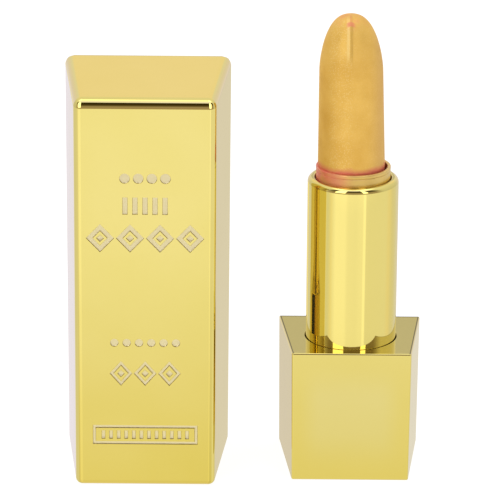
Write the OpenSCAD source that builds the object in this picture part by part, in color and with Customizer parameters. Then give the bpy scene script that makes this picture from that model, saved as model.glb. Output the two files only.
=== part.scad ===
// Turn-up lipstick case in the shape of a bar: a cap, and a lipstick in its base block.
// Units are millimetres, +Z is up, and the origin is on the lipstick's axis in the plane of its foot.
// The case is drawn open, with the cap standing mouth down beside the lipstick and the bullet fully up.

/* [Cap] */
// Width of the cap's front face at its closed end
cap_front_w = 26.5; // [26.4:0.1:27.6]
// Width of the cap's back face at its closed end
cap_back_w = 32.2; // [31.6:0.1:32.8]
// How much narrower the front face is at the mouth
cap_front_taper = 0.1; // [0:0.1:0.2]
// How much narrower the back face is at the mouth
cap_back_taper = 0.5; // [0:0.1:0.7]
// Depth of the cap from front to back
cap_depth = 25.0; // [24.8:0.1:25.6]
// Height of the cap's front face
cap_h = 77.1; // [74:0.1:80]
// How much higher the back edge of the closed end is than its front edge
cap_end_rise = 2.0; // [0.5:0.1:2.5]
// Distance from the lipstick's axis to the cap's middle, sideways
cap_x = -39.3; // [-60:0.1:-34]
// Distance from the lipstick's axis to the cap's middle, front to back
cap_y = -1.8; // [-5:0.1:5]

/* [Base block] */
// Width of the block's front face at its top
base_front_w = 22.8; // [22.4:0.1:23]
// Width of the block's back face at its top
base_back_w = 27.5; // [27:0.1:27.7]
// How much narrower both faces are at the foot
base_taper = 0.4; // [0:0.1:0.5]
// Depth of the block from front to back
base_depth = 21.5; // [21.3:0.1:21.6]
// Height of the block
base_h = 25.9; // [25.4:0.1:26.4]

/* [Tube and mechanism] */
// Outer diameter of the gold tube
tube_d = 17.4; // [17.4:0.1:17.5]
// Height of the tube above the block
tube_h = 32.2; // [32:0.1:33]
// How far the bullet winds down
travel = 33.0; // [31.5:0.1:33]
// How far the carrier winds down in one turn
pitch = 22.0; // [20:0.5:26]
// Outer diameter of the cup that carries the bullet
cup_d = 14.3; // [14.2:0.1:14.3]
// Length of the cup
cup_h = 10.7; // [9.5:0.1:11]
// How far the cup stands out of the tube when it is wound up
cup_proud = 2.2; // [1.5:0.1:2.5]

/* [Bullet] */
// Height of the bullet's tip above the tube's rim when it is wound up
bullet_h = 31.9; // [29:0.1:32]
// Radius of the bullet at the shoulder under its pointed end
shoulder_r = 6.05; // [5.8:0.01:6.1]
// Height of the pointed end
nose_h = 10.85; // [9:0.05:13]
// Growth of the radius for each millimetre below the shoulder
draft = 0.018; // [0.005:0.001:0.019]

/* [Engraving] */
// Depth of the ornament cut into the cap's front
engrave_depth = 0.25; // [0.15:0.01:0.3]
// Width of the lines in the row of large lozenges
bold_w = 0.95; // [0.6:0.01:1]
// Width of the lines in the row of small lozenges and round the panel
line_w = 0.6; // [0.4:0.01:0.7]

/* [Hidden] */
$fn = 96;
small_fn = 32;
eps = 0.05;

// Cap: walls, the cavity that takes the base block, and the round bore that takes the tube
block_gap = 0.25;
cavity_front_w = base_front_w + 2 * block_gap;
cavity_back_w = base_back_w + 2 * block_gap;
cavity_depth = base_depth + 2 * block_gap;
cap_end_wall = 2.2;
cavity_h = cap_h - cap_end_wall;
cap_mouth_r = 1.0;
cap_end_r = 1.8;
liner_bottom = base_h + 0.7;
liner_gap = 0.05;
liner_bore_r = tube_d / 2 + 0.15;
liner_wall = 0.9;
liner_flange_t = 1.4;
liner_rib_t = 1.0;

// Base block and what fills it
base_wall = 1.2;
base_roof = 1.5;
room_front_w = base_front_w - base_taper - 2 * base_wall;
room_back_w = base_back_w - base_taper - 2 * base_wall;
room_depth = base_depth - 2 * base_wall;
room_h = base_h - base_roof;
hole_r = tube_d / 2 + 0.17;
plate_t = 1.4;
label_r = 7.5;
label_t = 0.2;
peg_r = 1.2;
peg_h = 4.0;
peg_x = 6.5;
weight_gap = 0.3;
weight_h = 6.8;
socket_bottom = plate_t + weight_h;
socket_floor = 1.6;
socket_gap = 0.05;
socket_bore_r = tube_d / 2 + 0.2;
pocket_r = 1.4;
pocket_x = 8.2;
pocket_y = 7.4;
pocket_depth = 12;

// Mechanism, from the inside out
rim_z = base_h + tube_h;
cup_r = cup_d / 2;
cup_top = rim_z + cup_proud;
cup_bottom = cup_top - cup_h;
cup_floor = 1.0;
bullet_foot_r = shoulder_r + draft * (bullet_h - cup_proud - nose_h);
cup_bore_r = bullet_foot_r + 0.05;
cup_vent_r = 1.5;
lug_r = 0.9;
lug_end = 7.9;
lug_z = cup_bottom + 1.5;
tube_bore_r = cup_r + 0.07;
tube_wall = 0.38;
slot_w = 2.2;
slot_gap = 0.35;
collar_r = 8.5;
collar_h = 3.2;
foot_z = socket_bottom + socket_floor;
ring_r = 0.42;
ring_mid_r = tube_bore_r + tube_wall + ring_r + 0.04;
sleeve_bottom = foot_z + collar_h + 2 * ring_r + 0.06;
sleeve_r = tube_bore_r + tube_wall + 0.06;
sleeve_outer_r = 8.22;
groove_r = 8.0;
groove_angle = 41;
groove_slices = 60;
bead_r = tube_bore_r + tube_wall + 0.14;
bead_z = sleeve_bottom + 0.6;
bead_h = 0.5;
bead_gap = 0.1;
shroud_bore_r = 8.25;
rim_hole_r = cup_r + 0.15;
rim_t = 1.0;
sleeve_top = rim_z - rim_t;
rim_out_r = 1.0;
rim_in_r = 0.35;
nose_steps = 24;
nose_round = 1.6;
nose_power = 2.6;

gold = [0.90, 0.78, 0.36];
pale_gold = [0.93, 0.80, 0.45];

// Section of a bar: narrow at the front, wide at the back
module bar_section(front_w, back_w, depth) {
    polygon([
        [-front_w / 2, -depth / 2], [front_w / 2, -depth / 2],
        [back_w / 2, depth / 2], [-back_w / 2, depth / 2]
    ]);
}

// Straight block with that section
module bar_block(front_w, back_w, depth, height) {
    linear_extrude(height) bar_section(front_w, back_w, depth);
}

module at_cap() {
    translate([cap_x, cap_y, 0]) children();
}

// A place this far in from both walls of the cap's section, for a rounded edge
function side_slope(front_w, back_w) = (back_w - front_w) / 2 / cap_depth;
function edge_x(front_w, back_w, y, r) =
    front_w / 2 + side_slope(front_w, back_w) * (y + cap_depth / 2)
    - r * sqrt(1 + pow(side_slope(front_w, back_w), 2));

module cap_outside() {
    front_y = cap_depth / 2;
    mouth_front_w = cap_front_w - cap_front_taper;
    mouth_back_w = cap_back_w - cap_back_taper;
    hull() {
        for (side = [-1, 1], end = [-1, 1]) {
            mouth_y = end * (front_y - cap_mouth_r);
            translate([
                side * edge_x(mouth_front_w, mouth_back_w, mouth_y, cap_mouth_r),
                mouth_y, cap_mouth_r * cos(180 / small_fn)
            ])
                sphere(r = cap_mouth_r, $fn = small_fn);
            end_y = end * (front_y - cap_end_r);
            translate([
                side * edge_x(cap_front_w, cap_back_w, end_y, cap_end_r),
                end_y, cap_h + (end > 0 ? cap_end_rise : 0) - cap_end_r
            ])
                sphere(r = cap_end_r, $fn = small_fn);
        }
    }
}

// Ornament shapes are drawn flat, turned upright and sunk into the cap's front face
module on_front(z) {
    translate([0, engrave_depth - cap_depth / 2, z])
        rotate([90, 0, 0])
            linear_extrude(engrave_depth + eps)
                children();
}

module lozenge(w, h) {
    polygon([[-w / 2, 0], [0, -h / 2], [w / 2, 0], [0, h / 2]]);
}

// A lozenge drawn as an outline of the given width
module lozenge_ring(w, h, line) {
    inset = 2 * line * sqrt(w * w + h * h);
    difference() {
        lozenge(w, h);
        lozenge(w - inset / h, h - inset / w);
    }
}

// Places of the middles of n shapes in a row of the given width
function row_x(n, row_w) = [for (i = [0 : n - 1]) ((i + 0.5) / n - 0.5) * row_w];

module bead_row(n, row_w, d) {
    for (x = row_x(n, row_w)) translate([x, 0]) circle(d = d, $fn = 24);
}

module bar_row(n, row_w, bar_w, bar_h) {
    for (x = row_x(n, row_w)) translate([x, 0]) square([bar_w, bar_h], center = true);
}

module lozenge_row(n, row_w, h, line, core_w, core_h) {
    for (x = row_x(n, row_w))
        translate([x, 0]) {
            lozenge_ring(row_w / n * 0.94, h, line / 2);
            lozenge(core_w, core_h);
        }
}

module frame_outline(w, h) {
    difference() {
        square([w, h], center = true);
        square([w - 2 * line_w, h - 2 * line_w], center = true);
    }
}

module cap_ornament() {
    on_front(61.8) bead_row(4, 10.2, 2.0);
    on_front(56.4) bar_row(5, 9.4, 1.0, 3.4);
    on_front(50.0) lozenge_row(4, 22.6, 5.6, bold_w, 1.5, 1.5);
    on_front(29.1) bead_row(6, 14.0, 1.6);
    on_front(22.9) lozenge_row(3, 13.8, 5.0, line_w, 1.4, 1.5);
    on_front(10.4) {
        frame_outline(20, 3.9);
        bar_row(12, 17.4, 0.7, 1.7);
    }
}

module cap_shell() {
    color(gold)
        at_cap()
            difference() {
                cap_outside();
                cap_ornament();
                translate([0, 0, -eps])
                    bar_block(cavity_front_w, cavity_back_w, cavity_depth, cavity_h + eps);
            }
}

// Flanged sleeve in the cap: four ribs join its two flanges, and the bore runs right through
module cap_liner() {
    flange_front_w = cavity_front_w - 2 * liner_gap;
    flange_back_w = cavity_back_w - 2 * liner_gap;
    flange_depth = cavity_depth - 2 * liner_gap;
    liner_h = cavity_h - liner_bottom;
    rib_reach = cavity_front_w / 2 - liner_gap;
    color("ivory")
        at_cap()
            difference() {
                union() {
                    for (z = [liner_bottom, cavity_h - liner_flange_t])
                        translate([0, 0, z])
                            bar_block(flange_front_w, flange_back_w, flange_depth, liner_flange_t);
                    translate([0, 0, liner_bottom]) cylinder(r = liner_bore_r + liner_wall, h = liner_h);
                    translate([-rib_reach, -liner_rib_t / 2, liner_bottom])
                        cube([2 * rib_reach, liner_rib_t, liner_h]);
                    translate([-liner_rib_t / 2, -flange_depth / 2, liner_bottom])
                        cube([liner_rib_t, flange_depth, liner_h]);
                }
                translate([0, 0, liner_bottom - eps]) cylinder(r = liner_bore_r, h = liner_h + 2 * eps);
            }
}

module base_shell() {
    foot_front_w = base_front_w - base_taper;
    foot_back_w = base_back_w - base_taper;
    skin = 0.01;
    color(gold)
        difference() {
            hull() {
                bar_block(foot_front_w, foot_back_w, base_depth, skin);
                translate([0, 0, base_h - skin]) bar_block(base_front_w, base_back_w, base_depth, skin);
            }
            translate([0, 0, -eps]) bar_block(room_front_w, room_back_w, room_depth, room_h + eps);
            translate([0, 0, room_h - eps]) cylinder(r = hole_r, h = base_roof + 2 * eps);
        }
}

// Closes the foot; the pegs stand in the weight's holes and the recess below takes the label
module base_plate() {
    color([0.85, 0.74, 0.36])
        difference() {
            union() {
                bar_block(room_front_w, room_back_w, room_depth, plate_t);
                for (side = [-1, 1])
                    translate([side * peg_x, 0, plate_t - eps])
                        cylinder(r = peg_r, h = peg_h + eps, $fn = small_fn);
            }
            translate([0, 0, -eps]) cylinder(r = label_r + 0.1, h = label_t + eps);
        }
}

module shade_label() {
    color("whitesmoke")
        cylinder(r = label_r, h = label_t);
}

module base_weight() {
    color("slategray")
        translate([0, 0, plate_t])
            difference() {
                bar_block(room_front_w - 2 * weight_gap, room_back_w - 2 * weight_gap,
                    room_depth - 2 * weight_gap, weight_h);
                for (side = [-1, 1])
                    translate([side * peg_x, 0, -eps])
                        cylinder(r = peg_r + 0.1, h = weight_h + 2 * eps, $fn = small_fn);
            }
}

// Fills the block above the weight: a floor, a seat for the collar and a bore the shroud turns in
module mechanism_socket() {
    color("dimgray")
        difference() {
            translate([0, 0, socket_bottom])
                bar_block(room_front_w - 2 * socket_gap, room_back_w - 2 * socket_gap,
                    room_depth - 2 * socket_gap, room_h - socket_bottom);
            translate([0, 0, foot_z]) cylinder(r = collar_r, h = collar_h + eps);
            translate([0, 0, foot_z + collar_h]) cylinder(r = socket_bore_r, h = room_h);
            for (x = [-pocket_x, pocket_x], y = [-pocket_y, pocket_y])
                translate([x, y, room_h - pocket_depth])
                    cylinder(r = pocket_r, h = pocket_depth + eps, $fn = small_fn);
        }
}

// Slotted tube fixed in the socket: the cup slides in it, and its lugs pass through the slots
module inner_tube() {
    slot_bottom = lug_z - travel - lug_r - slot_gap;
    slot_top = lug_z + lug_r + slot_gap;
    top_z = sleeve_top - 0.15;
    color("silver")
        difference() {
            union() {
                translate([0, 0, foot_z]) cylinder(r = tube_bore_r + tube_wall, h = top_z - foot_z);
                translate([0, 0, foot_z]) cylinder(r = collar_r, h = collar_h);
                translate([0, 0, bead_z]) cylinder(r = bead_r, h = bead_h);
            }
            translate([0, 0, foot_z - eps]) cylinder(r = tube_bore_r, h = top_z - foot_z + 2 * eps);
            translate([-collar_r, -slot_w / 2, slot_bottom])
                cube([2 * collar_r, slot_w, slot_top - slot_bottom]);
        }
}

module brake_ring() {
    color("black")
        translate([0, 0, foot_z + collar_h + ring_r])
            rotate_extrude()
                translate([ring_mid_r, 0]) circle(r = ring_r, $fn = small_fn);
}

// Section of one helical groove, seen from above: a piece of a ring
module groove_section() {
    steps = 4;
    polygon(concat(
        [for (i = [0 : steps]) let (a = (i / steps - 0.5) * groove_angle)
            (sleeve_r - 0.3) * [cos(a), sin(a)]],
        [for (i = [steps : -1 : 0]) let (a = (i / steps - 0.5) * groove_angle)
            groove_r * [cos(a), sin(a)]]
    ));
}

// Two helical grooves inside the sleeve drive the lugs up and down as it turns
module spiral_sleeve() {
    sleeve_h = sleeve_top - sleeve_bottom;
    groove_bottom = lug_z - travel - lug_r - slot_gap;
    groove_h = 2 * (lug_r + slot_gap) + travel;
    start_angle = (groove_bottom - lug_z) / pitch * 360;
    sweep = groove_h / pitch * 360;
    color([0.75, 0.75, 0.78])
        difference() {
            translate([0, 0, sleeve_bottom]) cylinder(r = sleeve_outer_r, h = sleeve_h);
            translate([0, 0, sleeve_bottom - eps]) cylinder(r = sleeve_r, h = sleeve_h + 2 * eps);
            translate([0, 0, bead_z - bead_gap]) cylinder(r = bead_r + bead_gap, h = bead_h + 2 * bead_gap);
            for (side = [0, 180])
                translate([0, 0, groove_bottom])
                    rotate([0, 0, side + start_angle])
                        linear_extrude(groove_h, twist = -sweep, slices = groove_slices, $fn = 8)
                            groove_section();
        }
}

// Gold tube whose mouth is rolled inwards over the ends of the sleeve and the inner tube
module shroud() {
    outer_r = tube_d / 2;
    lip_steps = 10;
    color(gold)
        rotate_extrude()
            polygon(concat(
                [[shroud_bore_r, sleeve_bottom], [outer_r, sleeve_bottom]],
                [for (i = [0 : lip_steps]) let (a = 90 * i / lip_steps)
                    [outer_r - rim_out_r + rim_out_r * cos(a), rim_z - rim_out_r + rim_out_r * sin(a)]],
                [for (i = [0 : lip_steps]) let (a = 90 * i / lip_steps)
                    [rim_hole_r + rim_in_r - rim_in_r * sin(a), rim_z - rim_in_r + rim_in_r * cos(a)]],
                [[rim_hole_r, sleeve_top], [shroud_bore_r, sleeve_top]]
            ));
}

// Cup with a floor and two round lugs that stand out through the slots
module carrier_cup() {
    color(pale_gold)
        difference() {
            union() {
                translate([0, 0, cup_bottom]) cylinder(r = cup_r, h = cup_h);
                translate([-lug_end, 0, lug_z])
                    rotate([0, 90, 0]) cylinder(r = lug_r, h = 2 * lug_end, $fn = small_fn);
            }
            translate([0, 0, cup_bottom + cup_floor]) cylinder(r = cup_bore_r, h = cup_h);
            translate([0, 0, cup_bottom - eps]) cylinder(r = cup_vent_r, h = cup_h);
        }
}

// Radius of the pointed end at a distance s below the tip, where s runs from 0 to 1
function nose_r(s) = shoulder_r * pow(1 - pow(1 - s, nose_round), 1 / nose_power);

module bullet() {
    tip_z = rim_z + bullet_h;
    foot = cup_bottom + cup_floor;
    color([0.92, 0.70, 0.38])
        rotate_extrude()
            polygon(concat(
                [[0, foot], [bullet_foot_r, foot], [bullet_foot_r, cup_top]],
                [for (i = [nose_steps : -1 : 0]) let (s = pow(i / nose_steps, 2))
                    [nose_r(s), tip_z - nose_h * s]]
            ));
}

cap_shell();
cap_liner();
base_shell();
base_plate();
shade_label();
base_weight();
mechanism_socket();
inner_tube();
brake_ring();
spiral_sleeve();
shroud();
carrier_cup();
bullet();
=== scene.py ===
import math

import bmesh
import bpy
from mathutils import Matrix, Vector


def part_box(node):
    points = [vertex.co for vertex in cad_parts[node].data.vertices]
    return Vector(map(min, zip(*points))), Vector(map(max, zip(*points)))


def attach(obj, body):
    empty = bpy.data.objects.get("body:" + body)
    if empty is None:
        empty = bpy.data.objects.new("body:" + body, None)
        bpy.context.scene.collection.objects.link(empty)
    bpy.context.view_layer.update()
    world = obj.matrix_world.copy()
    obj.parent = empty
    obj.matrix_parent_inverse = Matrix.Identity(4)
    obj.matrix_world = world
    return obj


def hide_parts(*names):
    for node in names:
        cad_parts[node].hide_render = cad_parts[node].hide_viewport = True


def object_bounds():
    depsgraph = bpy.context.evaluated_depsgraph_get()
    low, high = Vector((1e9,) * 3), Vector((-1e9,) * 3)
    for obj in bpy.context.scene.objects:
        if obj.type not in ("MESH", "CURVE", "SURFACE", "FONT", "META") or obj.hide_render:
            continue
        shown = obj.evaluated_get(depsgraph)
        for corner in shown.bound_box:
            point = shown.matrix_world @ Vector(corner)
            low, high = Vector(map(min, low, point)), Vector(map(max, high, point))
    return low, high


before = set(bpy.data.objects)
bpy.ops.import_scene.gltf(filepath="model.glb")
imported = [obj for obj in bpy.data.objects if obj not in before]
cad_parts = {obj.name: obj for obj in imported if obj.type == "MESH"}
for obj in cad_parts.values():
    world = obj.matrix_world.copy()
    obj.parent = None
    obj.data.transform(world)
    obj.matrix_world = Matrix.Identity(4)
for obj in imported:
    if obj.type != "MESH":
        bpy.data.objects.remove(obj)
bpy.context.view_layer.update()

MM = 0.001

# Sizes in millimetres and angles in degrees that the frame's boxes don't give. The cap:
CAP_FRONT_W = 26.5
CAP_BACK_W = 32.05
CAP_FRONT_TAPER = 0.1
CAP_BACK_TAPER = 0.5
CAP_END_RISE = 2.0
CAP_WALL_FRONT = 1.5
CAP_END_WALL = 2.2
CAP_EDGE_R = 1.4
CAP_END_R = 1.8
CAP_MOUTH_R = 1.0
CAP_CAVITY_R = 0.2
BLOCK_GAP = 0.25
ENGRAVE_DEPTH = 0.25
ENGRAVE_R = 0.15

# The base block
BASE_FRONT_W = 22.8
BASE_BACK_W = 27.5
BASE_TAPER = 0.4
BASE_EDGE_R = 0.3
BASE_WALL = 1.2
BASE_ROOF = 1.5
HOLE_GAP = 0.17
HOLE_LIP = 0.1

# The tube
TUBE_WALL = 0.45
TUBE_FOOT_R = 0.1
RIM_OUT_R = 1.0
RIM_IN_R = 0.35

# The cup
CUP_GAP = 0.15
CUP_WALL = 0.68
CUP_FOOT_R = 0.2
CUP_BAND = 0.04
CUP_GROOVE = 0.1
CUP_GROOVE_DROP = 0.75
CUP_LIP_R = 0.22
CUP_FLOOR = 1.0
CUP_VENT_R = 1.5
LUG_R = 0.9
LUG_Z = 1.5

# The bullet
BULLET_SHOULDER_R = 6.05
BULLET_NOSE_H = 10.85
NOSE_ROUND = 1.6
NOSE_POWER = 2.6
BULLET_LEAN = 0.9
BULLET_SHIFT = -0.4
SEAM_TURN = -93
SEAM_W = 0.16
SEAM_RIDGE = 0.07
SEAM_HOLLOW = 0.06
SEAM_DROP = 5
SEAM_REACH = 4
SEAM_END_R = 0.3

# The camera
CAMERA_SENSOR_W = 36
CAMERA_LENS = 288
CAMERA_DISTANCE = 767.3
CAMERA_ELEVATION = 18.9
CAMERA_ROLL = 0.457
CAMERA_AIM_X = 1.15
CAMERA_AIM_Z = -2.0


def box_mm(node):
    """The low and high corners of a CAD node's box, in millimetres."""
    low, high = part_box(node)
    return Vector(low) / MM, Vector(high) / MM


# ---------------------------------------------------------------- mesh helpers

def mark_sharp(bm, sharp_deg):
    """Smooth shading, broken at the edges where the faces turn by more than this."""
    for face in bm.faces:
        face.smooth = True
    for edge in bm.edges:
        if len(edge.link_faces) == 2:
            edge.smooth = edge.calc_face_angle() < math.radians(sharp_deg)


def mesh_object(name, bm, sharp_deg=35):
    """A smooth-shaded object from a bmesh in millimetres, with its sharp edges marked."""
    bmesh.ops.recalc_face_normals(bm, faces=bm.faces)
    bmesh.ops.scale(bm, vec=(MM, MM, MM), verts=bm.verts)
    mark_sharp(bm, sharp_deg)
    mesh = bpy.data.meshes.new(name)
    bm.to_mesh(mesh)
    bm.free()
    obj = bpy.data.objects.new(name, mesh)
    bpy.context.scene.collection.objects.link(obj)
    return obj


def apply_modifiers(obj, sharp_deg):
    """Replaces the object's mesh by what its modifiers make of it."""
    bpy.context.view_layer.update()
    mesh = bpy.data.meshes.new_from_object(obj.evaluated_get(bpy.context.evaluated_depsgraph_get()))
    obj.modifiers.clear()
    bm = bmesh.new()
    bm.from_mesh(mesh)
    mark_sharp(bm, sharp_deg)
    bm.to_mesh(mesh)
    bm.free()
    obj.data = mesh


def flatten_faces(obj):
    """Keeps the big flat faces flat in their shading, so that only the rounded edges bend it."""
    even = obj.modifiers.new("flat_faces", "WEIGHTED_NORMAL")
    even.weight = 100
    even.keep_sharp = True


def arc(cx, cy, r, start_deg, end_deg, steps):
    """Points of an arc, both ends included."""
    turn = [math.radians(start_deg + (end_deg - start_deg) * i / steps) for i in range(steps + 1)]
    return [(cx + r * math.cos(a), cy + r * math.sin(a)) for a in turn]


def add_loop(bm, points, z):
    """Vertices at the points, all at height z."""
    return [bm.verts.new((x, y, z)) for x, y in points]


def circle(bm, r, z, steps):
    """A loop of vertices round the Z axis."""
    turns = [2 * math.pi * i / steps for i in range(steps)]
    return add_loop(bm, [(r * math.cos(a), r * math.sin(a)) for a in turns], z)


def join_loops(bm, one, two):
    """Joins two closed loops of equal length with a band of faces."""
    n = len(one)
    for i in range(n):
        j = (i + 1) % n
        bm.faces.new((one[i], one[j], two[j], two[i]))


def fill_between(bm, one, two):
    """Fills the flat ring between two closed loops with different numbers of points."""
    edges = []
    for loop in (one, two):
        for i, vert in enumerate(loop):
            after = loop[(i + 1) % len(loop)]
            edges.append(bm.edges.get((vert, after)) or bm.edges.new((vert, after)))
    bmesh.ops.triangle_fill(bm, use_beauty=True, edges=edges)


def lathe(profile, steps, closed):
    """A surface of revolution about Z. A point on the axis becomes one vertex."""
    bm = bmesh.new()
    rings = []
    for r, z in profile:
        if r < 1e-6:
            rings.append([bm.verts.new((0, 0, z))])
        else:
            rings.append(circle(bm, r, z, steps))
    pairs = list(zip(rings, rings[1:]))
    if closed:
        pairs.append((rings[-1], rings[0]))
    for one, two in pairs:
        if len(one) == 1 or len(two) == 1:
            pole, ring = (one[0], two) if len(one) == 1 else (two[0], one)
            for i in range(steps):
                bm.faces.new((pole, ring[i], ring[(i + 1) % steps]))
        else:
            join_loops(bm, one, two)
    return bm


def bar_section(front_w, back_w, depth, r, steps=5):
    """Outline of the bar's section with rounded corners, counterclockwise seen from above."""
    slope = math.atan2((back_w - front_w) / 2, depth)
    corners = [
        (-front_w / 2, -depth / 2, 180 + math.degrees(slope), 270),
        (front_w / 2, -depth / 2, 270, 360 - math.degrees(slope)),
        (back_w / 2, depth / 2, -math.degrees(slope), 90),
        (-back_w / 2, depth / 2, 90, 180 + math.degrees(slope)),
    ]
    points = []
    for x, y, start, end in corners:
        half = math.radians(end - start) / 2
        middle = math.radians((start + end) / 2)
        reach = r / math.cos(half)
        points += arc(x - reach * math.cos(middle), y - reach * math.sin(middle), r, start, end, steps)
    return points


# ---------------------------------------------------------------- the cap

def cap_solid():
    """The cap as a tapered bar with its cavity. Each edge carries the radius that it gets."""
    low, high = box_mm("cap_shell")
    depth = high.y - low.y
    middle = (low + high) / 2
    middle.z = 0
    front_top = high.z - CAP_END_RISE
    roof = front_top - CAP_END_WALL

    def corners(front_w, back_w, d, z_front, z_back):
        return [Vector((-front_w / 2, -d / 2, z_front)), Vector((front_w / 2, -d / 2, z_front)),
                Vector((back_w / 2, d / 2, z_back)), Vector((-back_w / 2, d / 2, z_back))]

    room = (BASE_FRONT_W + 2 * BLOCK_GAP, BASE_BACK_W + 2 * BLOCK_GAP, depth - 2 * CAP_WALL_FRONT)
    levels = [
        corners(CAP_FRONT_W - CAP_FRONT_TAPER, CAP_BACK_W - CAP_BACK_TAPER, depth, 0, 0),
        corners(CAP_FRONT_W, CAP_BACK_W, depth, front_top, high.z),
        corners(*room, 0, 0),
        corners(*room, roof, roof),
    ]
    bm = bmesh.new()
    weight = bm.edges.layers.float.new("bevel_weight_edge")
    outer_low, outer_top, inner_low, inner_top = [
        [bm.verts.new(p + middle) for p in level] for level in levels]
    bm.faces.new(outer_top)
    bm.faces.new(inner_top)
    join_loops(bm, outer_low, outer_top)
    join_loops(bm, outer_low, inner_low)
    join_loops(bm, inner_low, inner_top)
    for i in range(4):
        j = (i + 1) % 4
        for one, two, radius in (
                (outer_low[i], outer_top[i], CAP_EDGE_R), (outer_top[i], outer_top[j], CAP_END_R),
                (outer_low[i], outer_low[j], CAP_MOUTH_R), (inner_low[i], inner_low[j], CAP_CAVITY_R),
                (inner_low[i], inner_top[i], CAP_CAVITY_R)):
            bm.edges.get((one, two))[weight] = radius / CAP_END_R
    return mesh_object("cap_outer", bm, sharp_deg=180)


def outline(kind, x, z, w, h, inset):
    """Outline of an ornament shape on the cap's front, moved inwards by the inset."""
    if kind == "disc":
        r = w / 2 - inset
        steps = 28
        turns = [2 * math.pi * i / steps for i in range(steps)]
        return [(x + r * math.cos(a), z + r * math.sin(a)) for a in turns]
    if kind == "lozenge":
        side = math.hypot(w, h)
        w, h = w - 2 * inset * side / h, h - 2 * inset * side / w
        return [(x - w / 2, z), (x, z - h / 2), (x + w / 2, z), (x, z + h / 2)]
    w, h = w / 2 - inset, h / 2 - inset
    return [(x - w, z - h), (x + w, z - h), (x + w, z + h), (x - w, z + h)]


def row_x(count, row_w):
    """Places of evenly spaced shapes in a centred row."""
    return [((i + 0.5) / count - 0.5) * row_w for i in range(count)]


def ornament_shapes():
    """The generic ornament, row by row from the top: kind, x, z, width, height, line (0 when it is solid)."""
    shapes = [("disc", x, 61.8, 2.0, 2.0, 0) for x in row_x(4, 10.2)]
    shapes += [("bar", x, 56.4, 1.0, 3.4, 0) for x in row_x(5, 9.4)]
    for x in row_x(4, 22.6):
        shapes += [("lozenge", x, 50.0, 5.31, 5.6, 0.95), ("lozenge", x, 50.0, 1.5, 1.5, 0)]
    shapes += [("disc", x, 29.1, 1.6, 1.6, 0) for x in row_x(6, 14.0)]
    for x in row_x(3, 13.8):
        shapes += [("lozenge", x, 22.9, 4.32, 5.0, 0.6), ("lozenge", x, 22.9, 1.4, 1.5, 0)]
    shapes.append(("bar", 0, 10.4, 20.0, 3.9, 0.6))
    shapes += [("bar", x, 10.4, 0.7, 1.7, 0) for x in row_x(12, 17.4)]
    return shapes


def ornament_cutter(cap_x, front_y):
    """Solids that cut the ornament: straight at the surface, then rounded down to a flat bottom."""
    profile = [(-0.1, 0)] + arc(ENGRAVE_DEPTH - ENGRAVE_R, ENGRAVE_R, ENGRAVE_R, -90, 0, 4)
    bm = bmesh.new()
    for kind, x, z, w, h, line in ornament_shapes():
        walls = []
        for start, sign in ((0, 1), (line, -1))[:2 if line else 1]:
            rings = []
            for deep, inset in profile:
                points = outline(kind, cap_x + x, z, w, h, start + sign * inset)
                rings.append([bm.verts.new((px, front_y + deep, pz)) for px, pz in points])
            for one, two in zip(rings, rings[1:]):
                join_loops(bm, one, two)
            walls.append(rings)
        for end in (0, -1):
            if line:
                join_loops(bm, walls[0][end], walls[1][end])
            else:
                bm.faces.new(walls[0][end])
    return mesh_object("ornament_cutter", bm)


def make_cap():
    """The outer cap: rounded edges on all sides, and the ornament sunk into its front."""
    cap = cap_solid()
    bevel = cap.modifiers.new("rounded_edges", "BEVEL")
    bevel.limit_method = "WEIGHT"
    bevel.width = CAP_END_R * MM
    bevel.segments = 10
    bevel.use_clamp_overlap = False
    low, high = box_mm("cap_shell")
    cutter = ornament_cutter((low.x + high.x) / 2, low.y)
    cut = cap.modifiers.new("ornament", "BOOLEAN")
    cut.object = cutter
    cut.solver = "EXACT"
    apply_modifiers(cap, sharp_deg=20)
    bpy.data.objects.remove(cutter)
    flatten_faces(cap)
    return cap


# ---------------------------------------------------------------- the base block and the tube

def make_base():
    """The base block with its room, its roof and the hole that the tube turns in."""
    low, high = box_mm("base_shell")
    depth = high.y - low.y
    height = high.z
    hole_r = (box_mm("shroud")[1].x - box_mm("shroud")[0].x) / 2 + HOLE_GAP
    foot_w = (BASE_FRONT_W - BASE_TAPER, BASE_BACK_W - BASE_TAPER)
    bm = bmesh.new()

    def wall(widths, inset, z):
        section = bar_section(widths[0] - 2 * inset, widths[1] - 2 * inset, depth - 2 * inset,
                              max(BASE_EDGE_R - inset, 0.02))
        return add_loop(bm, section, z)

    room = [side - 2 * BASE_WALL for side in (*foot_w, depth)]
    room_low = add_loop(bm, bar_section(*room, BASE_EDGE_R), 0)
    room_top = add_loop(bm, bar_section(*room, BASE_EDGE_R), height - BASE_ROOF)
    walls = [wall(foot_w, BASE_EDGE_R / 2, 0), wall(foot_w, 0, BASE_EDGE_R / 2)]
    for inset, rise in arc(BASE_EDGE_R, 0, BASE_EDGE_R, 180, 90, 5):
        walls.append(wall((BASE_FRONT_W, BASE_BACK_W), inset, height - BASE_EDGE_R + rise))
    hole_steps = 128
    hole = [circle(bm, r, z, hole_steps)
            for r, z in arc(hole_r + HOLE_LIP, height - HOLE_LIP, HOLE_LIP, 90, 180, 3)]
    hole.append(circle(bm, hole_r, height - BASE_ROOF, hole_steps))
    join_loops(bm, room_low, room_top)
    join_loops(bm, room_low, walls[0])
    for rings in (walls, hole):
        for one, two in zip(rings, rings[1:]):
            join_loops(bm, one, two)
    fill_between(bm, walls[-1], hole[0])
    fill_between(bm, room_top, hole[-1])
    base = mesh_object("base_block", bm, sharp_deg=28)
    flatten_faces(base)
    return base


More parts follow.
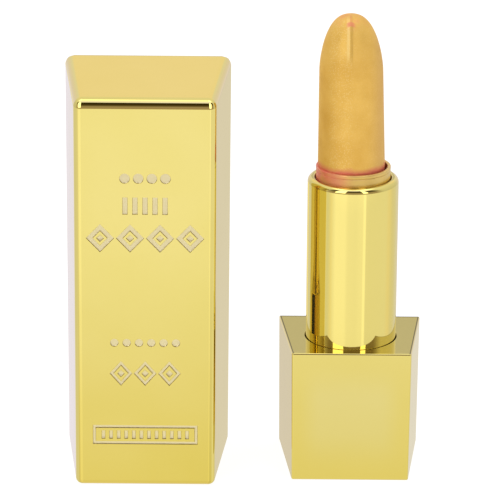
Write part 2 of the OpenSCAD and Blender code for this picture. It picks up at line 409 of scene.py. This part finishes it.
def make_tube():
    """The gold tube: its mouth is rolled inwards in a round lip."""
    low, high = box_mm("shroud")
    outer_r = (high.x - low.x) / 2
    inner_r = outer_r - TUBE_WALL
    mouth_r = (box_mm("carrier_cup")[1].y - box_mm("carrier_cup")[0].y) / 2 + CUP_GAP
    top = high.z
    profile = [(inner_r, low.z), (outer_r - TUBE_FOOT_R, low.z), (outer_r, low.z + TUBE_FOOT_R)]
    profile += arc(outer_r - RIM_OUT_R, top - RIM_OUT_R, RIM_OUT_R, 0, 90, 12)
    profile += arc(mouth_r + RIM_IN_R, top - RIM_IN_R, RIM_IN_R, 90, 180, 8)
    profile += [(mouth_r, top - RIM_OUT_R), (inner_r, top - RIM_OUT_R)]
    return mesh_object("gold_tube", lathe(profile, steps=192, closed=True))


def make_cup():
    """The carrier cup with a rolled lip over a fine groove, its floor and its two lugs."""
    low, high = box_mm("carrier_cup")
    r = (high.y - low.y) / 2
    bore_r = r - CUP_WALL
    top = high.z
    band_r = r - CUP_BAND
    groove_z = top - CUP_GROOVE_DROP
    profile = [(CUP_VENT_R, low.z), (r - CUP_FOOT_R, low.z), (r, low.z + CUP_FOOT_R)]
    profile += [(band_r, groove_z - 2.5 * CUP_GROOVE), (band_r, groove_z - CUP_GROOVE)]
    profile += [(band_r - CUP_GROOVE, groove_z), (r - CUP_GROOVE / 2, groove_z + CUP_GROOVE)]
    profile += arc(r - CUP_LIP_R, top - CUP_LIP_R, CUP_LIP_R, 0, 90, 6)
    profile += arc(bore_r + CUP_LIP_R, top - CUP_LIP_R, CUP_LIP_R, 90, 180, 6)
    profile += [(bore_r, low.z + CUP_FLOOR), (CUP_VENT_R, low.z + CUP_FLOOR)]
    bm = lathe(profile, steps=160, closed=True)
    for side in (-1, 1):
        start = circle(bm, LUG_R, 0, steps=24)
        for vert in start:
            vert.co = (side * (bore_r + CUP_LIP_R), vert.co.x, low.z + LUG_Z + vert.co.y)
        end = [bm.verts.new((side * high.x, v.co.y, v.co.z)) for v in start]
        join_loops(bm, start, end)
        bm.faces.new(start)
        bm.faces.new(end)
    return mesh_object("bullet_cup", bm)


def make_bullet():
    """The lipstick: a drafted stick with a pointed end, a faint mould seam, and a slight lean in its cup."""
    low, high = box_mm("bullet")
    foot_r = (high.x - low.x) / 2
    shoulder_z = high.z - BULLET_NOSE_H
    mouth_z = box_mm("carrier_cup")[1].z
    steps = 40
    profile = [(0, low.z), (foot_r, low.z), (foot_r, mouth_z)]
    for i in range(1, steps):
        t = i / steps
        profile.append((foot_r + (BULLET_SHOULDER_R - foot_r) * t, mouth_z + (shoulder_z - mouth_z) * t))
    for i in range(steps + 1):
        s = (1 - i / steps) ** 2
        r = BULLET_SHOULDER_R * (1 - (1 - s) ** NOSE_ROUND) ** (1 / NOSE_POWER)
        profile.append((r, high.z - BULLET_NOSE_H * s))
    bm = lathe(profile, steps=300, closed=False)
    for vert in bm.verts:
        x, y, z = vert.co
        r = math.hypot(x, y)
        if z < mouth_z:
            continue
        if r > SEAM_END_R:
            off = (math.atan2(y, x) - math.radians(SEAM_TURN)) * r
            fade = math.exp(-((high.z - z - SEAM_DROP) / SEAM_REACH) ** 2)
            ridge = math.exp(-(off / SEAM_W) ** 2)
            hollow = math.exp(-((off - 2 * SEAM_W) / SEAM_W) ** 2)
            out = fade * (SEAM_RIDGE * ridge - SEAM_HOLLOW * hollow)
            vert.co.x *= (r + out) / r
            vert.co.y *= (r + out) / r
        vert.co.x += BULLET_SHIFT - (z - mouth_z) * math.tan(math.radians(BULLET_LEAN))
    return mesh_object("lipstick_bullet", bm, sharp_deg=60)


# ---------------------------------------------------------------- materials

class Nodes:
    """Adds nodes to a node tree and feeds their sockets with numbers, colours or other nodes."""

    def __init__(self, tree):
        self.tree = tree
        tree.nodes.clear()

    def add(self, kind, **settings):
        node = self.tree.nodes.new(kind)
        for key, value in settings.items():
            setattr(node, key, value)
        return node

    def feed(self, socket, value):
        """Links a socket to another one, or gives it a colour or a number."""
        if isinstance(value, bpy.types.NodeSocket):
            self.tree.links.new(value, socket)
        elif isinstance(value, tuple):
            socket.default_value = (*value, 1)
        else:
            socket.default_value = value

    def math(self, operation, *values):
        node = self.add("ShaderNodeMath", operation=operation)
        for socket, value in zip(node.inputs, values):
            self.feed(socket, value)
        return node.outputs["Value"]

    def spread(self, value, low, high, from_low=0.3, from_high=0.7, smooth=False):
        """Maps a value to a range and keeps it there."""
        node = self.add("ShaderNodeMapRange", interpolation_type="SMOOTHSTEP" if smooth else "LINEAR")
        limits = {"From Min": from_low, "From Max": from_high, "To Min": low, "To Max": high}
        for name, number in limits.items():
            node.inputs[name].default_value = number
        self.feed(node.inputs["Value"], value)
        return node.outputs["Result"]

    def window(self, value, low, high, soft):
        """One between low and high, falling smoothly to zero over the soft margin outside them."""
        rise = self.spread(value, 0, 1, low - soft, low, smooth=True)
        fall = self.spread(value, 1, 0, high, high + soft, smooth=True)
        return self.math("MULTIPLY", rise, fall)

    def mix(self, factor, one, two, blend="MIX"):
        """Mixes two colours, each a tuple or a socket."""
        node = self.add("ShaderNodeMix", data_type="RGBA", blend_type=blend)
        colours = [socket for socket in node.inputs if socket.type == "RGBA"]
        for socket, value in zip([node.inputs["Factor"]] + colours, (factor, one, two)):
            self.feed(socket, value)
        return next(socket for socket in node.outputs if socket.type == "RGBA")


class Shader(Nodes):
    """A Principled material whose patterns are read from the object's own coordinates."""

    def __init__(self, name):
        self.material = bpy.data.materials.new(name)
        self.material.use_nodes = True
        super().__init__(self.material.node_tree)
        output = self.add("ShaderNodeOutputMaterial")
        self.bsdf = self.add("ShaderNodeBsdfPrincipled")
        self.feed(output.inputs["Surface"], self.bsdf.outputs["BSDF"])
        self.coords = self.add("ShaderNodeTexCoord").outputs["Object"]
        split = self.add("ShaderNodeSeparateXYZ")
        self.feed(split.inputs["Vector"], self.coords)
        self.x, self.y, self.z = split.outputs

    def set(self, **values):
        """Feeds the Principled node's inputs by name, with _ for a space."""
        for key, value in values.items():
            self.feed(self.bsdf.inputs[key.replace("_", " ")], value)

    def noise(self, scale, detail=2.0, stretch=(1, 1, 1)):
        """A soft noise from 0 to 1; a larger stretch packs it closer along that axis."""
        mapping = self.add("ShaderNodeMapping")
        mapping.inputs["Scale"].default_value = stretch
        self.feed(mapping.inputs["Vector"], self.coords)
        node = self.add("ShaderNodeTexNoise")
        node.inputs["Scale"].default_value = scale
        node.inputs["Detail"].default_value = detail
        self.feed(node.inputs["Vector"], mapping.outputs["Vector"])
        return node.outputs["Fac"]

    def bump(self, height, strength, distance):
        """Gives the surface a fine relief."""
        node = self.add("ShaderNodeBump")
        node.inputs["Strength"].default_value = strength
        node.inputs["Distance"].default_value = distance
        self.feed(node.inputs["Height"], height)
        self.feed(self.bsdf.inputs["Normal"], node.outputs["Normal"])


def mirror_gold(name, one, two, rough_low, rough_high, ripple, frost_and_painted_shade=None, seam=None, pale=None,
                metal=1.0):
    """Metallised gold: a tint that drifts a little, haze that comes and goes, and a faint moulded ripple.

    frost gives the satin floors of an engraving and painted shade on its walls, seam a painted dark line,
    pale a painted paler sheen.
    """
    s = Shader(name)
    s.set(Metallic=metal, Coat_Weight=0.12, Coat_Roughness=0.04)
    colour = s.mix(s.noise(45), one, two)
    # Painted sheen: the mask lightens the gold towards a paler, whiter tint.
    if pale:
        colour = s.mix(pale(s), colour, (0.775, 0.675, 0.275))
    rough = s.spread(s.noise(700, 4), rough_low, rough_high)
    if frost_and_painted_shade:
        mask, wall = frost_and_painted_shade(s)
        # Painted shade on the engraving's walls; the floors get a paler frosted tint.
        colour = s.mix(wall, colour, (0.40, 0.30, 0.09))
        colour = s.mix(mask, colour, (0.90, 0.82, 0.55))
        rough = s.math("ADD", rough, s.math("MULTIPLY", mask, 0.28))
    # Painted dark reflection: a thin dark line mixed in where the mask says.
    if seam:
        colour = s.mix(seam(s), colour, (0.07, 0.045, 0.012))
    s.set(Base_Color=colour, Roughness=rough)
    s.bump(s.noise(90, 1), ripple, 0.0004)
    return s.material


def engraving(s):
    """The flat bottoms of the ornament, and the walls round them that get painted shade, behind the cap's
    front face.
    """
    low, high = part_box("cap_shell")
    middle_x = (low[0] + high[0]) / 2
    half_w, bottom, top = 0.0115, 0.006, 0.066
    deep = s.math("DIVIDE", s.math("SUBTRACT", s.y, low[1]), ENGRAVE_DEPTH * MM)
    across = s.window(s.x, middle_x - half_w, middle_x + half_w, 0.0001)
    place = s.math("MULTIPLY", across, s.window(s.z, bottom, top, 0.0001))
    floor = s.math("MULTIPLY", place, s.window(deep, 0.9, 1.1, 0.15))
    # Mask for the painted shade on the engraving's walls.
    wall = s.math("MULTIPLY", place, s.window(deep, 0.15, 0.75, 0.1))
    return floor, s.math("MULTIPLY", wall, 0.8)


def painted_roof_edge_line(s):
    """A painted dark line round the base block's roof, along its sides and its back, standing in for the dark
    reflection in its rounded top edge.
    """
    low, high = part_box("base_shell")
    slope = (BASE_BACK_W - BASE_FRONT_W) * MM / 2 / (high[1] - low[1])
    half_w = s.math("MULTIPLY_ADD", s.math("SUBTRACT", s.y, low[1]), slope, BASE_FRONT_W * MM / 2)
    inside = s.math("SUBTRACT", half_w, s.math("ABSOLUTE", s.x))
    sides = s.window(inside, 0.0002, 0.00036, 0.00008)
    back = s.window(s.math("SUBTRACT", high[1], s.y), 0.0002, 0.0006, 0.00012)
    on_roof = s.spread(s.z, 0, 1, high[2] - 0.00006, high[2] - 0.00003)
    in_front_of_back = s.spread(s.y, 1, 0, high[1] - 0.00025, high[1] - 0.00015)
    lines = s.math("MAXIMUM", s.math("MULTIPLY", sides, in_front_of_back), back)
    return s.math("MULTIPLY", lines, s.math("MULTIPLY", on_roof, 0.8))


def painted_sheen_patch(s):
    """Mask for the painted sheen: the middle of the base block's front face, fading out well before its
    edges.
    """
    low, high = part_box("base_shell")
    across = s.window(s.math("ABSOLUTE", s.x), 0, 0.0055, 0.0050)
    up = s.window(s.z, 0.4 * high[2], 0.6 * high[2], 0.35 * high[2])
    front = s.spread(s.y, 1, 0, low[1] + 0.0001, low[1] + 0.0004)
    return s.math("MULTIPLY", front, s.math("MULTIPLY", across, up))


def brushed_gold(name):
    """The cup: turned metal with rings round its axis and a pink smear of lipstick on one side."""
    s = Shader(name)
    rings = s.noise(900, 3, stretch=(0.05, 0.05, 2.5))
    metal = s.mix(rings, (0.73, 0.50, 0.15), (0.84, 0.62, 0.23))
    side = s.spread(s.x, 1.0, 0.0, -0.0058, 0.0010, smooth=True)
    patchy = s.spread(s.noise(260, 2), 0.55, 1.25, 0.35, 0.65)
    smear = s.math("MULTIPLY", side, patchy)
    s.set(Base_Color=s.mix(smear, metal, (0.80, 0.21, 0.13)), Metallic=s.spread(smear, 0.9, 0.25, 0.1, 0.8))
    s.set(Roughness=s.spread(rings, 0.28, 0.42))
    s.bump(rings, 0.25, 0.00006)
    return s.material


def tip_mark(s, tip_z, aside, ahead):
    """The pink mark on the bullet's tip: a short bow across it and a line up its middle."""
    bow = s.window(s.math("MULTIPLY_ADD", aside, 0.35, s.z), tip_z - 0.0013, tip_z - 0.0008, 0.0002)
    bow = s.math("MULTIPLY", bow, s.spread(aside, 1, 0, 0.0004, 0.0010))
    upper = s.spread(s.z, 0, 1, tip_z - 0.0012, tip_z - 0.0008)
    line = s.math("MULTIPLY", s.spread(aside, 0.6, 0, 0.00005, 0.00025), upper)
    mark = s.math("MULTIPLY", s.math("MAXIMUM", bow, line), ahead)
    return s.math("MULTIPLY", mark, s.spread(s.noise(900, 2), 0.7, 1.0, 0.35, 0.6))


def seam_light(s, tip_z, tip_x, ahead):
    """The two sides of the mould seam below the tip: where it is lit and where it is shaded."""
    along = s.math("MULTIPLY", ahead, s.window(s.z, tip_z - 0.0062, tip_z - 0.0016, 0.0022))
    beside = s.math("SUBTRACT", s.x, tip_x - 0.00018)
    lit = s.math("MULTIPLY", along, s.window(beside, -0.00045, -0.00015, 0.0002))
    shaded = s.math("MULTIPLY", along, s.window(beside, 0.00015, 0.0005, 0.0002))
    return lit, shaded


def pearl_wax(name):
    """The bullet: satin wax full of gold pearl with a painted glint band left of its middle and painted shade
    on its right, pink where the pearl has worn off at its foot and tip.
    """
    s = Shader(name)
    s.set(Metallic=0.4, IOR=1.4, Specular_Tint=(0.95, 0.75, 0.45))
    tip_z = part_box("bullet")[1][2]
    mouth_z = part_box("carrier_cup")[1][2]
    tip_x = (BULLET_SHIFT - (tip_z - mouth_z) / MM * math.tan(math.radians(BULLET_LEAN))) * MM - 0.0001
    aside = s.math("ABSOLUTE", s.math("SUBTRACT", s.x, tip_x))
    ahead = s.spread(s.y, 1, 0, -0.0012, -0.0004)
    flakes = s.add("ShaderNodeTexVoronoi")
    flakes.inputs["Scale"].default_value = 3600
    s.feed(flakes.inputs["Vector"], s.coords)
    glint = s.spread(flakes.outputs["Distance"], 0.8, 0.0, 0.0, 0.42)
    # Pearl flakes, made brighter in a painted glint band left of the middle.
    painted_glint_band = s.window(s.x, -0.0042, -0.0012, 0.0012)
    flakes_and_painted_glint = s.math("MULTIPLY", glint, s.spread(painted_glint_band, 0.2, 0.7, 0, 1))
    wax = s.mix(s.spread(s.noise(260, 3), 0, 1), (0.81, 0.485, 0.10), (0.895, 0.575, 0.14))
    # Painted shade: the wax turns darker and browner towards its right side.
    turned = s.spread(s.x, 0.0, 0.5, 0.0022, 0.0052, smooth=True)
    wax = s.mix(turned, wax, (0.60, 0.36, 0.13))
    pearl = s.mix(flakes_and_painted_glint, wax, (1.0, 0.84, 0.42))
    lit, shaded = seam_light(s, tip_z, tip_x, ahead)
    pearl = s.mix(s.math("MULTIPLY", lit, 0.4), pearl, (1.0, 0.80, 0.36))
    pearl = s.mix(s.math("MULTIPLY", shaded, 0.5), pearl, (0.58, 0.34, 0.07))
    wobble = s.math("MULTIPLY", s.math("SUBTRACT", s.noise(330, 3), 0.5), 0.0014)
    height = s.math("ADD", s.z, wobble)
    foot = s.spread(height, 1.0, 0.0, mouth_z + 0.0002, mouth_z + 0.0013)
    tip = s.spread(height, 0.0, 0.5, tip_z - 0.0024, tip_z - 0.0004)
    worn = s.math("MULTIPLY", tip, s.spread(s.noise(520, 2), 0.1, 0.8, 0.42, 0.62))
    worn = s.math("MAXIMUM", worn, tip_mark(s, tip_z, aside, ahead))
    pearl = s.mix(foot, pearl, (0.78, 0.22, 0.14))
    s.set(Base_Color=s.mix(worn, pearl, (0.82, 0.24, 0.14)))
    s.set(Roughness=s.spread(s.noise(2500, 2), 0.42, 0.56))
    s.bump(s.math("ADD", s.noise(2600, 2), glint), 0.3, 0.00004)
    return s.material


def moulded(name, one, two, rough, grain=1800, bump=0.15):
    """Plain moulded plastic, rubber or film with a fine grain."""
    s = Shader(name)
    s.set(Base_Color=s.mix(s.noise(120, 3), one, two))
    s.set(Roughness=s.spread(s.noise(grain, 2), rough - 0.06, rough + 0.06))
    s.bump(s.noise(grain, 3), bump, 0.00004)
    return s.material


def plated_steel(name):
    """The base's weight: zinc plated steel with a drawn grain."""
    s = Shader(name)
    grain = s.noise(500, 3, stretch=(1, 1, 12))
    s.set(Metallic=1.0, Base_Color=s.mix(grain, (0.38, 0.39, 0.41), (0.62, 0.62, 0.60)))
    s.set(Roughness=s.spread(grain, 0.25, 0.5))
    s.bump(grain, 0.2, 0.00005)
    return s.material


def dress(obj, material):
    """Gives an object this material and no other."""
    obj.data.materials.clear()
    obj.data.materials.append(material)


# ---------------------------------------------------------------- stage, light and camera

def make_floor():
    """A pale floor that fills the picture and isn't seen in the gold."""
    half = 4.0
    drop = 0.00002
    mesh = bpy.data.meshes.new("floor")
    corners = [(-half, -half, 0), (half, -half, 0), (half, half, 0), (-half, half, 0)]
    mesh.from_pydata(corners, [], [(0, 1, 2, 3)])
    floor = bpy.data.objects.new("floor", mesh)
    bpy.context.scene.collection.objects.link(floor)
    floor.location.z = -drop
    s = Shader("pale_floor")
    s.set(Base_Color=(0.2, 0.2, 0.2), Roughness=0.9, Specular_IOR_Level=0.0)
    s.set(Emission_Color=(1.0, 0.995, 0.985), Emission_Strength=0.92)
    floor.data.materials.append(s.material)
    floor.visible_glossy = False


class Sky(Nodes):
    """The studio around the object: how bright it is in each direction, built from node arithmetic."""

    BRIGHTEST = 3.0

    def __init__(self, name):
        world = bpy.data.worlds.new(name)
        bpy.context.scene.world = world
        world.use_nodes = True
        super().__init__(world.node_tree)
        output = self.add("ShaderNodeOutputWorld")
        self.back = self.add("ShaderNodeBackground")
        self.feed(output.inputs["Surface"], self.back.outputs["Background"])
        self.back.inputs["Strength"].default_value = self.BRIGHTEST
        split = self.add("ShaderNodeSeparateXYZ")
        self.feed(split.inputs["Vector"], self.add("ShaderNodeTexCoord").outputs["Generated"])
        x, y, z = split.outputs
        self.elevation = self.math("MULTIPLY", self.math("ARCSINE", z), 180 / math.pi)
        turn = self.math("ARCTAN2", x, self.math("MULTIPLY", y, -1))
        self.azimuth = self.math("MULTIPLY", turn, 180 / math.pi)

    def ramp(self, angle, low, high, stops):
        """A brightness or colour for each angle in degrees, from stops in order."""
        node = self.add("ShaderNodeValToRGB")
        elements = node.color_ramp.elements
        while len(elements) < len(stops):
            elements.new(0.5)
        for element, (degrees, level) in zip(elements, stops):
            colour = level if isinstance(level, tuple) else (level, level, level)
            element.position = (degrees - low) / (high - low)
            element.color = (*[part / self.BRIGHTEST for part in colour], 1)
        self.feed(node.inputs["Fac"], self.spread(angle, 0, 1, low, high))
        return node.outputs["Color"]


def table_light(sky):
    """The white table below the horizon, by direction, with its near part lit by its height too."""
    e, a = sky.elevation, sky.azimuth
    table = sky.ramp(a, -180, 180, [
        (-180, (0.93, 0.90, 1.10)), (-170.6, (0.93, 0.90, 1.10)), (-169.6, (0.73, 0.67, 0.60)),
        (-166.5, (0.73, 0.67, 0.60)), (-162, (1.10, 1.00, 0.52)), (-150, (1.00, 0.88, 0.52)),
        (-146, 0.80), (-64, 0.90), (-57, (1.06, 1.0, 0.86)), (-50, 1.14), (-44, 1.25),
        (-20, 1.25), (-12, 1.13), (8, 1.11), (18, 1.15), (25, 1.16), (27, 1.34), (31, 1.34), (34, 0.99),
        (92, 0.98), (105, (0.99, 0.92, 0.80)), (118, (0.86, 0.84, 0.79)), (150, 0.80),
        (160, (0.76, 0.70, 0.64)), (166.3, (0.76, 0.70, 0.64)), (168, (0.76, 0.71, 0.56)),
        (172, (0.82, 0.78, 0.72)), (180, (0.93, 0.90, 1.10))])
    near = sky.ramp(e, -30, -10, [
        (-30, (0.82, 0.75, 0.50)), (-22.3, (0.86, 0.81, 0.54)), (-21, (0.90, 0.87, 0.72)),
        (-20, (0.94, 0.93, 0.88)), (-18.8, 1.0), (-15, 1.0), (-13.5, 1.15), (-10, 1.15)])
    near = sky.mix(1.0, near, (sky.BRIGHTEST,) * 3, "MULTIPLY")
    return sky.mix(sky.window(a, -60, 60, 20), table, sky.mix(1.0, table, near, "MULTIPLY"))


def room_light(sky):
    """A ceiling softbox, a dark room in front with two tall softboxes, and a wall behind with a grey flag."""
    e, a = sky.elevation, sky.azimuth
    front = sky.ramp(e, -14, 90, [
        (-14, (0.46, 0.37, 0.32)), (8, (0.42, 0.33, 0.28)), (11, (0.45, 0.37, 0.38)),
        (16, (0.36, 0.30, 0.28)), (24, (0.17, 0.13, 0.08)), (34, (0.07, 0.05, 0.02)),
        (44, (0.045, 0.033, 0.01)), (57, (0.04, 0.03, 0.01)), (61, (1.1, 1.1, 1.7)),
        (76, (1.2, 1.2, 1.8)), (82, 1.4), (90, 1.6)])
    behind = sky.ramp(e, -14, 90, [
        (-14, (0.86, 0.80, 0.92)), (10, (0.88, 0.83, 0.92)), (21, 0.90), (25, (1.03, 0.92, 0.74)),
        (32, (1.03, 0.92, 0.74)), (42, 0.92), (79, 0.95), (83, 1.5), (90, 1.6)])
    sides = sky.ramp(e, -14, 90, [(-14, 0.7), (30, 0.85), (60, 1.0), (70, 2.2), (90, 2.4)])
    is_front = sky.window(a, -55, 55, 30)
    is_behind = sky.math("SUBTRACT", 1.0, sky.window(a, -135, 135, 20))
    room = sky.mix(is_behind, sky.mix(is_front, sides, front), behind)
    turned = sky.math("ABSOLUTE", a)
    flag = sky.math("MULTIPLY", sky.spread(turned, 0, 1, 168, 171, smooth=True), sky.window(e, 14, 21.2, 1))
    room = sky.mix(flag, room, tuple(part / sky.BRIGHTEST for part in (0.64, 0.615, 0.56)))
    lamp = tuple(part / sky.BRIGHTEST for part in (2.4, 2.4, 2.3))
    for low, high in ((-46, -21), (25, 36)):
        softbox = sky.math("MULTIPLY", sky.window(a, low, high, 2), sky.window(e, 8, 57, 3))
        room = sky.mix(softbox, room, lamp)
    return room


def make_world():
    """The studio: the room above the table's far edge, and the table below it."""
    sky = Sky("studio")
    above = sky.spread(sky.elevation, 0, 1, -13, -12.3)
    sky.feed(sky.back.inputs["Color"], sky.mix(above, table_light(sky), room_light(sky)))


def make_camera():
    """A long lens, a little above the object, square to its front."""
    low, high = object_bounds()
    aim = Vector(((low[0] + high[0]) / 2 + CAMERA_AIM_X * MM, 0, (low[2] + high[2]) / 2 + CAMERA_AIM_Z * MM))
    elevation = math.radians(CAMERA_ELEVATION)
    data = bpy.data.cameras.new("camera")
    data.sensor_width = CAMERA_SENSOR_W
    data.lens = CAMERA_LENS
    camera = bpy.data.objects.new("camera", data)
    bpy.context.scene.collection.objects.link(camera)
    back = Vector((0, -math.cos(elevation), math.sin(elevation)))
    camera.location = aim + back * CAMERA_DISTANCE * MM
    turn = (-back).to_track_quat("-Z", "Y").to_matrix()
    roll = Matrix.Rotation(math.radians(CAMERA_ROLL), 3, "Z")
    camera.rotation_euler = (turn @ roll).to_euler()
    data.clip_start, data.clip_end = 0.05, 20
    bpy.context.scene.camera = camera


# ---------------------------------------------------------------- assembly

bpy.context.scene.view_settings.view_transform = "Standard"
make_camera()

base_gold = mirror_gold("base_gold", (0.765, 0.645, 0.20), (0.79, 0.67, 0.225), 0.03, 0.07, 0.02,
                        seam=painted_roof_edge_line, pale=painted_sheen_patch)
plated = mirror_gold("plated_gold", (0.77, 0.645, 0.19), (0.80, 0.675, 0.215), 0.03, 0.07, 0.02)
tube_gold = mirror_gold("tube_gold", (0.78, 0.65, 0.19), (0.81, 0.68, 0.215), 0.02, 0.05, 0.01,
                        metal=0.95)
liner_plastic = moulded("liner_plastic", (0.80, 0.77, 0.69), (0.86, 0.84, 0.78), 0.42)
acetal = moulded("mechanism_plastic", (0.74, 0.74, 0.71), (0.82, 0.82, 0.79), 0.38)
socket_plastic = moulded("socket_plastic", (0.012, 0.012, 0.014), (0.03, 0.03, 0.032), 0.45)
rubber = moulded("brake_rubber", (0.01, 0.01, 0.01), (0.03, 0.03, 0.03), 0.7)
film = moulded("label_film", (0.78, 0.78, 0.76), (0.84, 0.84, 0.83), 0.5)
steel = plated_steel("weight_steel")

cap = make_cap()
dress(cap, mirror_gold("cap_gold", (0.755, 0.63, 0.16), (0.815, 0.69, 0.245), 0.03, 0.07, 0.02,
                       frost_and_painted_shade=engraving))
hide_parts("cap_shell")
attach(cap, "cap")

base = make_base()
dress(base, base_gold)
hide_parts("base_shell")
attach(base, "base")

tube = make_tube()
dress(tube, tube_gold)
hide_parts("shroud")
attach(tube, "turning")

cup = make_cup()
dress(cup, brushed_gold("cup_gold"))
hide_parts("carrier_cup")
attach(cup, "carrier")

bullet = make_bullet()
dress(bullet, pearl_wax("lipstick_wax"))
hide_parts("bullet")
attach(bullet, "carrier")

for node, material in {
    "cap_liner": liner_plastic,
    "base_plate": plated,
    "shade_label": film,
    "base_weight": steel,
    "mechanism_socket": socket_plastic,
    "inner_tube": acetal,
    "brake_ring": rubber,
    "spiral_sleeve": acetal,
}.items():
    dress(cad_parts[node], material)

make_floor()
make_world()
